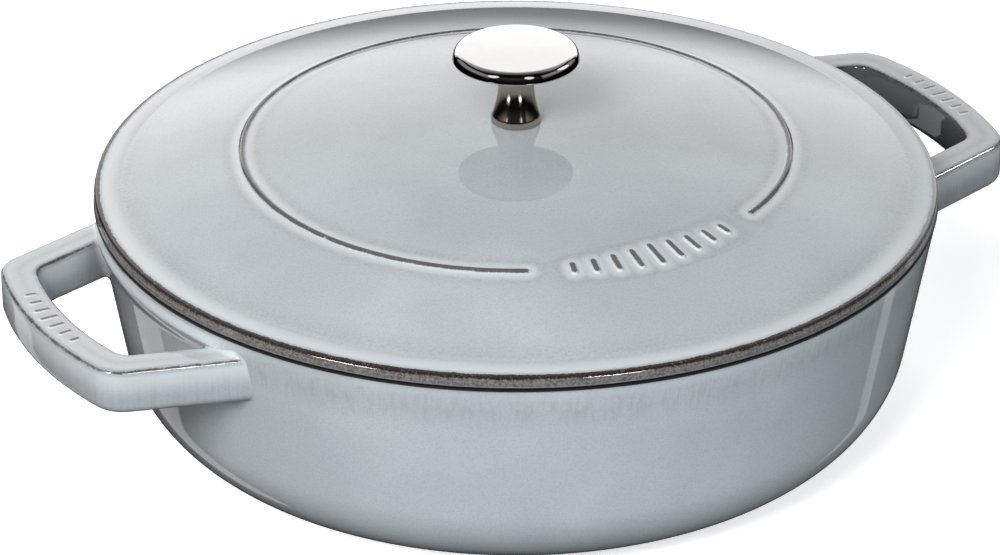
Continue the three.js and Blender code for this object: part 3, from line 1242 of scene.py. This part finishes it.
        # Where each run starts and ends, and about how far apart its points are
        stops = (
            (self.knob_foot, ring - near, 3.5),
            (ring - near, ring - close, 0.65),
            (ring - close, ring + close, 0.3),
            (ring + close, ring + near, 0.65),
            (ring + near, crease_radius - tangent, 3.0),
        )
        for start, end, step in stops:
            section.along(steps_between(start, end, step), self.dome)
        centre = (
            crease_radius - tangent * math.cos(slope) + self.crease_round * math.sin(slope),
            crease_height + tangent * math.sin(slope) + self.crease_round * math.cos(slope),
        )
        section.arc(centre, self.crease_round, -90.0 - math.degrees(slope), -90.0 - math.degrees(rise), 8)
        edge = (upper - self.edge_round, self.top_edge - self.edge_round)
        brim_slope = self.brim_rise / self.brim_width
        section.to(edge[0] - self.edge_inset, self.top_edge + brim_slope * self.edge_inset, 9).arris()
        section.arc(edge, self.edge_round, *self.glaze_turn, 3).arris()
        section.coated(Coat.THIN).arc(edge, self.edge_round, *self.thin_turn, 3)
        low = (self.radius - self.low_round, self.seat + self.low_round)
        middle = self.seat + self.edge_height * self.step_share
        section.to(upper + self.step_above, middle + self.step_half, 5)
        section.to(self.radius - self.step_below, middle - self.step_half, 2)
        section.to(self.radius, low[1], 4).coated(Coat.BLACK).arc(low, self.low_round, 0.0, -90.0, 4)
        root, ease = self.spigot_root, self.spigot_ease
        section.to(self.spigot_radius + root, self.seat, 5)
        section.arc((self.spigot_radius + root, self.seat - root), root, 90.0, 180.0, 3)
        foot = self.seat - self.spigot_depth
        inside = self.spigot_radius - self.spigot_width
        section.to(self.spigot_radius, foot + ease, 3)
        section.arc((self.spigot_radius - ease, foot + ease), ease, 0.0, -90.0, 3)
        section.arc((inside + ease, foot + ease), ease, -90.0, -180.0, 3)
        section.to(inside, self.dome(inside) - self.wall, 4)
        radii = steps_between(inside, self.boss_radius + self.boss_drop, 4.5)
        section.along(radii, lambda radius: self.dome(radius) - self.wall)
        boss = self.dome(0.0) - self.wall - self.boss_drop
        section.to(self.boss_radius, boss, 3).to(self.hole_radius, boss, 2)
        return section.to(self.hole_radius, knob_seat, 3)

    def ring_distance(self, x: float, y: float) -> float:
        """Gives the distance in plan from a place to the ring's middle line, which has a gap on -Y."""
        from_front = abs(math.atan2(x, -y))
        radius = math.hypot(x, y)
        if from_front > self.ring_gap / 2.0:
            return abs(radius - self.ring_radius)
        tip = Vector((math.sin(self.ring_gap / 2.0), math.cos(self.ring_gap / 2.0))) * self.ring_radius
        return (Vector((math.sin(from_front), math.cos(from_front))) * radius - tip).length

    def raise_ring(self, lid: bpy.types.Object, marks: MarkFan) -> None:
        """Raises a rounded bead along the ring's line, and pools the glaze beside it and round the marks."""
        edges = Workshop.read(lid, "edge_mm")
        wear = Workshop.read(lid, "edge_wear")
        half = self.ring_width / 2.0
        for vertex in lid.data.vertices:
            place = vertex.co / MM
            radius = math.hypot(place.x, place.y)
            underneath = place.z < self.dome(radius) - self.wall / 2.0
            if underneath or abs(radius - self.ring_radius) > self.ring_near:
                continue
            off = self.ring_distance(place.x, place.y)
            bead = max(0.0, 1.0 - (off / half) ** 2) ** self.ring_power
            vertex.co.z += self.ring_height * bead * MM
            beside = self.ring_least + self.ring_fade * max(0.0, off - self.ring_crest)
            if abs(math.atan2(place.x, -place.y)) < self.ring_gap / 2.0:
                from_mark = max(0.0, marks.distance(place.x, place.y) - marks.half_width)
                beside = min(beside, self.mark_least + self.mark_fade * from_mark)
            edges[vertex.index] = min(edges[vertex.index], beside)
            wear[vertex.index] = self.ring_wear
        Workshop.write(lid, "edge_mm", edges)
        Workshop.write(lid, "edge_wear", wear)
        lid.data.update()


# The knob and its fixing


@dataclass
class Knob:
    """The turned knob with its waisted stem."""

    finish: bpy.types.Material
    foot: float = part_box("knob")[0].z / MM
    height: float = (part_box("knob")[1].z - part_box("knob")[0].z) / MM
    radius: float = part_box("knob")[1].x / MM
    rim_ease: float = 0.45
    rim_start: float = -80.0
    rim_low: float = 12.0
    rim_high: float = 16.0
    rim_round: float = 2.6
    rim_end: float = 87.0
    cap_height: float = 4.4
    crown: float = 0.35
    neck_radius: float = 6.3
    neck_height: float = 15.0
    foot_radius: float = 8.8
    foot_height: float = 1.8
    foot_ease: float = 0.6
    foot_bevel: float = 0.3
    foot_short: float = 0.2
    flare: float = math.radians(20)
    tap_radius: float = 3.4
    tap_depth: float = 14.0
    turn_steps: int = 144
    curve_steps: int = 14

    def build(self) -> bpy.types.Object:
        """Turns the knob and gives it back."""
        knob = Workshop.spin("knob_turned", self.section(), self.turn_steps)
        Workshop.dress(knob, self.finish, Slot.POLISHED, Body.LID, "knob")
        return knob

    def curve(self, start: Span, pull: Span, end: Span) -> list[Vector]:
        """Draws a smooth curve from start to end that leaves and arrives along the lines to a pull point."""
        first, middle, last = Vector(start), Vector(pull), Vector(end)
        places = []
        for step in range(1, self.curve_steps + 1):
            share = step / self.curve_steps
            places.append(first.lerp(middle, share).lerp(middle.lerp(last, share), share))
        return places

    def section(self) -> HalfSection:
        """Draws the half section, from the tapped hole round the foot, stem and cap to the top."""
        cap = self.height - self.cap_height
        shoulder = self.height - self.crown
        eased = self.foot_height + self.foot_ease
        start = (
            self.foot_radius - self.foot_ease * math.sin(self.flare),
            eased + self.foot_ease * math.cos(self.flare),
        )
        waist = start[1] + (start[0] - self.neck_radius) / math.tan(self.flare)
        neck = (self.neck_radius, self.neck_height)
        runs = (
            ((self.foot_radius, self.foot_height), (self.foot_radius, eased), start),
            (start, (self.neck_radius, waist), neck),
            (neck, (self.neck_radius, cap), (self.foot_radius, cap)),
        )
        section = HalfSection().to(0.0, self.tap_depth + self.foot)
        section.to(self.tap_radius, self.tap_depth + self.foot, 2).to(self.tap_radius, self.foot, 3)
        section.to(self.foot_radius - self.foot_bevel, self.foot, 2)
        section.to(self.foot_radius, self.foot + self.foot_bevel)
        section.to(self.foot_radius, self.foot + self.foot_height - self.foot_short, 3)
        for run in runs:
            for place in self.curve(*run):
                section.to(place.x, place.y + self.foot)
        low, high, end = (math.radians(angle) for angle in (self.rim_low, self.rim_high, self.rim_end))
        ease = self.rim_ease
        upper = self.rim_round * (math.sin(end) - math.sin(high))
        bow = (shoulder - cap - ease * (1.0 + math.sin(low)) - upper) / (math.sin(high) - math.sin(low))
        centre = Vector((self.radius - ease, cap + ease + self.foot))
        section.to(centre.x, cap + self.foot, 6).arc(centre, ease, self.rim_start, self.rim_low, 8)
        centre -= Vector((math.cos(low), math.sin(low))) * (bow - ease)
        section.arc(centre, bow, self.rim_low, self.rim_high, 8)
        centre += Vector((math.cos(high), math.sin(high))) * (bow - self.rim_round)
        section.arc(centre, self.rim_round, self.rim_high, self.rim_end, 20)
        edge = (section.points[-1].radius, section.points[-1].height - self.foot)
        for place in self.curve(edge, (edge[0] / 2.0, self.height), (0.0, self.height)):
            section.to(place.x, place.y + self.foot)
        return section


@dataclass
class KnobFixing:
    """The screw that holds the knob from inside the lid, and its washer."""

    finish: bpy.types.Material
    screw_low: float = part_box("knob_screw")[0].z / MM
    screw_high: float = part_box("knob_screw")[1].z / MM
    washer_low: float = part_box("screw_washer")[0].z / MM
    washer_high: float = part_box("screw_washer")[1].z / MM
    washer_radius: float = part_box("screw_washer")[1].x / MM
    head_radius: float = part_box("knob_screw")[1].x / MM
    washer_ease: float = 0.15
    head_height: float = 3.6
    head_round: float = 1.2
    shank_radius: float = 3.0
    tip_chamfer: float = 0.75
    hole_radius: float = 3.4
    slot_width: float = 1.4
    slot_depth: float = 1.6
    turn_steps: int = 64

    def build(self) -> None:
        """Turns the screw and the washer and cuts the screw's slot."""
        Workshop.dress(self.screw(), self.finish, Slot.STEEL, Body.LID, "knob_screw")
        Workshop.dress(self.washer(), self.finish, Slot.STEEL, Body.LID, "screw_washer")

    def washer(self) -> bpy.types.Object:
        """Turns the washer, with its edges broken."""
        low, high, ease = self.washer_low, self.washer_high, self.washer_ease
        section = HalfSection().to(self.hole_radius, low).to(self.washer_radius - ease, low, 3)
        section.to(self.washer_radius, low + ease).to(self.washer_radius, high - ease)
        section.to(self.washer_radius - ease, high).to(self.hole_radius, high, 3).to(self.hole_radius, low)
        return Workshop.spin("screw_washer_turned", section, self.turn_steps)

    def screw(self) -> bpy.types.Object:
        """Turns the screw and cuts the slot across its head."""
        low, ease, under = self.screw_low, self.head_round, self.screw_low + self.head_height
        section = HalfSection().to(0.0, low).to(self.head_radius - ease, low, 3)
        section.arc((self.head_radius - ease, low + ease), ease, -90.0, 0.0, 6)
        section.to(self.head_radius, under).to(self.shank_radius, under, 2)
        section.to(self.shank_radius, self.screw_high - self.tip_chamfer, 8)
        section.to(self.shank_radius - self.tip_chamfer, self.screw_high).to(0.0, self.screw_high)
        screw = Workshop.spin("knob_screw_turned", section, self.turn_steps)
        Workshop.clear()
        bpy.ops.mesh.primitive_cube_add(size=MM, location=(0.0, 0.0, low * MM))
        cutter = bpy.context.object
        # The cutter is longer than the head is wide, and its lower half lies outside the head
        cutter.scale = (3.0 * self.head_radius, self.slot_width, 2.0 * self.slot_depth)
        bpy.ops.object.transform_apply(location=True, rotation=True, scale=True)
        Workshop.clear()
        screw.select_set(True)
        bpy.context.view_layer.objects.active = screw
        cut = screw.modifiers.new("slot", "BOOLEAN")
        cut.operation = "DIFFERENCE"
        cut.object = cutter
        bpy.ops.object.modifier_apply(modifier=cut.name)
        bpy.data.objects.remove(cutter)
        return screw


# The studio


@dataclass
class Lamp:
    """A soft light with a rounded face, aimed at the middle of the pan."""

    name: str
    bearing: float
    elevation: float
    distance: float
    width: float
    height: float
    brightness: float
    mirrored: bool = True
    lighting: bool = True
    colour: Colour = (1.0, 1.0, 1.0)
    only: tuple[bpy.types.Object, ...] = ()

    def build(self, aim: Vector, facing: float) -> None:
        """Adds the light.

        Args:
            aim: The point that it looks at, in metres.
            facing: The camera's bearing, in degrees, from which the lamp's own bearing is counted.
        """
        light = bpy.data.lights.new(self.name, "AREA")
        light.shape = "ELLIPSE"
        light.color = self.colour
        light.size, light.size_y = self.width, self.height
        light.energy = self.brightness * math.pi * (math.pi / 4.0 * self.width * self.height)
        lamp = bpy.data.objects.new(self.name, light)
        bpy.context.scene.collection.objects.link(lamp)
        lamp.location = aim + direction(facing + self.bearing, self.elevation) * self.distance
        lamp.rotation_euler = (lamp.location - aim).to_track_quat("Z", "Y").to_euler()
        lamp.visible_camera = False
        lamp.visible_glossy = self.mirrored
        lamp.visible_diffuse = self.lighting
        if self.only:
            lamp.light_linking.receiver_collection = bpy.data.collections.new(f"{self.name}_receivers")
            for piece in self.only:
                lamp.light_linking.receiver_collection.objects.link(piece)


def direction(bearing: float, elevation: float) -> Vector:
    """Gives the unit vector to a bearing, counted from -Y towards +X, and an elevation, in degrees."""
    turn, up = math.radians(bearing), math.radians(elevation)
    return Vector((math.sin(turn) * math.cos(up), -math.cos(turn) * math.cos(up), math.sin(up)))


@dataclass
class Studio:
    """The camera, the lights, the glowing panels and the sheet that the pan stands on."""

    sheet_finish: bpy.types.Material
    back_finish: bpy.types.Material
    side_finish: bpy.types.Material
    front_finish: bpy.types.Material
    top_finish: bpy.types.Material
    bearing: float = -29.07
    elevation: float = 27.88
    distance: float = 1.557
    aim: Vector = field(default_factory=lambda: Vector((-0.013, -0.012, 0.0545)))
    lens: float = 160.1
    sensor: float = 36.0
    sheet_size: float = 3.0
    panel_distance: float = 1.6
    panel_size: float = 6.0
    overhead_size: float = 2.2
    overhead_shift: float = 0.45
    room_colour: Colour = (1.0, 1.0, 1.0)
    room_light: float = 0.06
    room_mirrored: float = 0.012

    def build(
        self, handles: tuple[bpy.types.Object, ...], lid: bpy.types.Object, knob: bpy.types.Object
    ) -> None:
        """Sets up the camera, the sheet, the surroundings and the lamps.

        Args:
            handles: The pan's handles, which alone mirror the small lamps.
            lid: The lid's casting, which alone mirrors the flat lamps.
            knob: The polished knob, which alone mirrors the box lamps and the low lamps.
        """
        self.camera()
        self.sheet()
        self.panel("back_panel", self.back_finish, 180.0)
        self.panel("front_panel", self.front_finish, 0.0)
        self.panel("left_panel", self.side_finish, -90.0)
        self.panel("right_panel", self.side_finish, 90.0)
        self.panel("top_panel", self.top_finish, 180.0, overhead=True)
        self.surroundings()
        # Each lamp's bearing, elevation, distance, width, height and brightness
        lamps = (
            Lamp("key", -25.0, 37.0, 1.8, 0.9, 0.8, 21.5, mirrored=False),
            Lamp("right_fill", 25.0, 14.0, 1.8, 0.50, 0.44, 42.0, mirrored=False, colour=(0.90, 0.97, 1.0)),
            Lamp("left_fill", -75.0, 6.0, 1.8, 0.50, 0.44, 10.0, mirrored=False),
            Lamp("high_left", -100.0, 40.0, 0.9, 0.5, 0.5, 3.5, mirrored=False),
            Lamp("right_back", 128.0, 0.0, 1.8, 0.9, 0.6, 24.0, mirrored=False),
            Lamp("left_back", 205.0, 0.0, 1.8, 0.9, 0.6, 40.0, mirrored=False),
            Lamp("left_box", -43.0, 29.0, 1.4, 0.44, 0.9, 1.15, lighting=False, only=(knob,)),
            Lamp("right_box", 25.0, 29.0, 1.4, 0.38, 0.9, 1.15, lighting=False, only=(knob,)),
            Lamp("side_box", 102.0, 29.0, 1.4, 0.56, 0.7, 1.15, lighting=False, only=(knob,)),
            Lamp("left_low", -43.0, -8.0, 1.4, 0.40, 0.16, 4.0, lighting=False, only=(knob,)),
            Lamp("right_low", 25.0, -8.0, 1.4, 0.36, 0.16, 4.0, lighting=False, only=(knob,)),
            Lamp("left_lamp", -43.0, -11.5, 1.4, 0.44, 0.13, 90.0, lighting=False, only=(lid,)),
            Lamp("right_lamp", 25.0, -11.5, 1.4, 0.38, 0.13, 90.0, lighting=False, only=(lid,)),
            Lamp("left_edge", -45.0, 33.0, 1.25, 0.30, 0.12, 130.0, lighting=False, only=handles),
            Lamp("right_edge", 12.6, 30.0, 1.3, 0.30, 0.12, 70.0, lighting=False, only=handles),
            Lamp("side_edge", 100.5, 27.0, 1.3, 0.30, 0.12, 100.0, lighting=False, only=handles),
            Lamp("left_strip", -128.0, -36.0, 1.2, 0.28, 1.0, 0.7, lighting=False),
            Lamp("right_strip", 126.0, -33.0, 1.2, 0.11, 0.6, 0.45, lighting=False),
        )
        for lamp in lamps:
            lamp.build(self.aim, self.bearing)
        bpy.context.scene.view_settings.view_transform = "Standard"

    def camera(self) -> None:
        """Puts the camera where the pan was seen from."""
        data = bpy.data.cameras.new("camera")
        data.lens, data.sensor_width = self.lens, self.sensor
        camera = bpy.data.objects.new("camera", data)
        bpy.context.scene.collection.objects.link(camera)
        back = direction(self.bearing, self.elevation)
        camera.location = self.aim + back * self.distance
        camera.rotation_euler = back.to_track_quat("Z", "Y").to_euler()
        bpy.context.scene.camera = camera

    def sheet(self) -> None:
        """Lays the sheet under the pan."""
        Workshop.clear()
        bpy.ops.mesh.primitive_plane_add(size=self.sheet_size)
        sheet = bpy.context.object
        sheet.name = "sheet"
        sheet.data.materials.append(self.sheet_finish)
        sheet.visible_glossy = sheet.visible_diffuse = False

    def panel(self, name: str, finish: bpy.types.Material, bearing: float, overhead: bool = False) -> None:
        """Sets up a large glowing panel that is seen only in reflections.

        Args:
            name: The panel's name.
            finish: Its material.
            bearing: The way to it from the pan, in degrees from the way to the camera.
            overhead: Whether it hangs over the pan, a little that way, or else stands upright.
        """
        Workshop.clear()
        away = self.overhead_shift if overhead else self.panel_distance
        place = self.aim + direction(self.bearing + bearing, 0.0) * away
        bpy.ops.mesh.primitive_plane_add(
            size=self.overhead_size if overhead else self.panel_size,
            location=(place.x, place.y, self.panel_distance if overhead else 0.0),
            rotation=(0.0 if overhead else math.pi / 2.0, 0.0, math.radians(self.bearing + bearing)),
        )
        panel = bpy.context.object
        panel.name = name
        panel.data.materials.append(finish)
        panel.visible_camera = panel.visible_diffuse = panel.visible_shadow = False

    def surroundings(self) -> None:
        """Fills the room with an even light, white to the camera and nearly dark in reflections."""
        world = bpy.data.worlds.new("room")
        world.use_nodes = True
        tree = world.node_tree
        path = tree.nodes.new("ShaderNodeLightPath")
        level = tree.nodes.new("ShaderNodeMapRange")
        level.inputs["To Min"].default_value = self.room_light
        level.inputs["To Max"].default_value = self.room_mirrored
        tree.links.new(path.outputs["Is Glossy Ray"], level.inputs["Value"])
        shown = tree.nodes.new("ShaderNodeMath")
        shown.operation = "MAXIMUM"
        tree.links.new(level.outputs["Result"], shown.inputs[0])
        tree.links.new(path.outputs["Is Camera Ray"], shown.inputs[1])
        tree.links.new(shown.outputs["Value"], tree.nodes["Background"].inputs["Strength"])
        tree.nodes["Background"].inputs["Color"].default_value = (*self.room_colour, 1.0)
        bpy.context.scene.world = world


def main() -> None:
    """Builds the pan, the lid, the knob and its fixing, and the studio round them."""
    logging.basicConfig(level=logging.INFO, format="%(name)s: %(message)s")
    enamel = GreyEnamel().make()
    handles = PanCasting(enamel).build()
    lid = LidCasting(enamel).build()
    knob = Knob(PolishedNickel().make()).build()
    KnobFixing(PlainSteel().make()).build()
    back = GlowPanel()
    side = replace(
        back,
        name="side_glow",
        horizon_m=(0.1, 0.5),
        half_width_m=(1.3, 1.6),
        top_left=0.0,
        level=0.3,
        boost=0.0,
    )
    front = replace(side, name="front_glow", level=0.03)
    top = replace(side, name="top_glow", horizon_m=(-1.3, -1.2), top_m=(-0.9, 0.9), level=0.41)
    Studio(PaleSheet().make(), back.make(), side.make(), front.make(), top.make()).build(handles, lid, knob)


if __name__ == "__main__":
    main()
